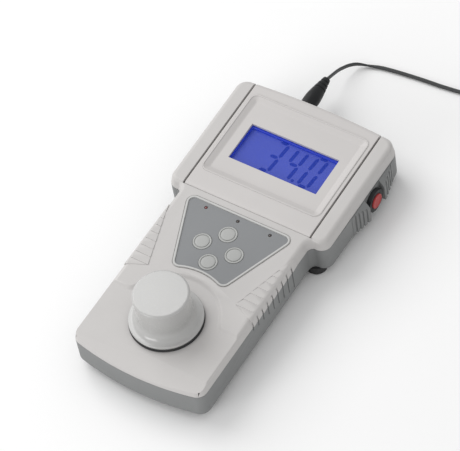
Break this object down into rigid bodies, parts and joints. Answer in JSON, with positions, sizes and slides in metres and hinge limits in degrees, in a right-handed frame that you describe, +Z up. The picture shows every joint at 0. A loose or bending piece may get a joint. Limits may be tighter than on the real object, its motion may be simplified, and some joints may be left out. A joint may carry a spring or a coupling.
{
  "type": "portable turbidity meter",
  "caption": "Flat two-tone bench meter with a blue digital display, round keys, a lift-off light cap over a sample well, a side push switch and a mains adapter lead.",
  "frame": {"origin": "centre of the meter's footprint, on the surface it stands on", "axes": "+Y towards the display end, +Z up, +X to the side with the power switch"},
  "size_m": [0.2265, 0.3614, 0.0605],
  "materials": {
    "upper_plastic": "fine satin texture",
    "lower_plastic": "fine satin texture",
    "bezel_plastic": "fine satin texture",
    "clear_window": "clear",
    "lcd": "blue, lit from behind",
    "diffuser": "milky",
    "board": "solder mask",
    "foil": "printed foil",
    "key": "satin",
    "led": "tinted lens",
    "black_plastic": "moulded",
    "cap_plastic": "glossy",
    "black_rubber": "moulded",
    "red_plastic": "moulded",
    "steel": "plated",
    "nickel": "nickel plate",
    "lens": "polished",
    "cell_wrap": "shrink sleeve",
    "lead_jacket": "soft plastic"
  },
  "bodies": {
    "housing": {"upper_shell": "upper_plastic", "lower_shell": "lower_plastic", "display_bezel": "bezel_plastic", "display_window": "clear_window", "lcd_glass": "lcd", "lcd_backlight": "diffuser", "display_board": "board", "display_screws": "steel", "keypad_foil": "foil", "key_switches": "black_plastic", "indicator_leds": "led", "main_board": "board", "board_chips": "black_plastic", "board_screws": "steel", "flex_cable": "foil", "cap_gasket": "black_rubber", "sample_well": "black_plastic", "well_screws": "steel", "light_source": "lens", "source_lens": "lens", "detectors": "nickel", "optic_boards": "board", "switch_body": "black_plastic", "switch_nut": "nickel", "dc_jack": "black_plastic", "plug_pin": "nickel", "plug_body": "black_rubber", "battery_cells": "cell_wrap", "spring_contacts": "nickel", "flat_contacts": "nickel", "feet": "black_rubber", "case_screws": "steel", "lead_near": "lead_jacket", "lead_coil": "lead_jacket", "lead_far": "lead_jacket", "adapter_relief": "black_rubber", "adapter_body": "black_plastic", "adapter_pins": "nickel"},
    "cap": {"shade_cap": "cap_plastic"},
    "left_key": {"key_left": "key"},
    "back_key": {"key_back": "key"},
    "right_key": {"key_right": "key"},
    "front_key": {"key_front": "key"},
    "button": {"power_button": "red_plastic"},
    "door": {"battery_door": "lower_plastic"}
  },
  "joints": [
    {"name": "cap_lift", "type": "slide", "parent": "housing", "child": "cap", "axis": [0, 0, 1], "range_m": [0, 0.06]},
    {"name": "left_key_press", "type": "slide", "parent": "housing", "child": "left_key", "axis": [0, 0, -1], "range_m": [0, 0.0006], "stiffness_N_per_m": 1500, "springref_m": -0.0003},
    {"name": "back_key_press", "type": "slide", "parent": "housing", "child": "back_key", "axis": [0, 0, -1], "range_m": [0, 0.0006], "stiffness_N_per_m": 1500, "springref_m": -0.0003},
    {"name": "right_key_press", "type": "slide", "parent": "housing", "child": "right_key", "axis": [0, 0, -1], "range_m": [0, 0.0006], "stiffness_N_per_m": 1500, "springref_m": -0.0003},
    {"name": "front_key_press", "type": "slide", "parent": "housing", "child": "front_key", "axis": [0, 0, -1], "range_m": [0, 0.0006], "stiffness_N_per_m": 1500, "springref_m": -0.0003},
    {"name": "power_press", "type": "slide", "parent": "housing", "child": "button", "axis": [-1, 0, 0], "range_m": [0, 0.002], "stiffness_N_per_m": 800, "springref_m": -0.0005},
    {"name": "door_slide", "type": "slide", "parent": "housing", "child": "door", "axis": [0, 1, 0], "range_m": [0, 0.045]}
  ]
}
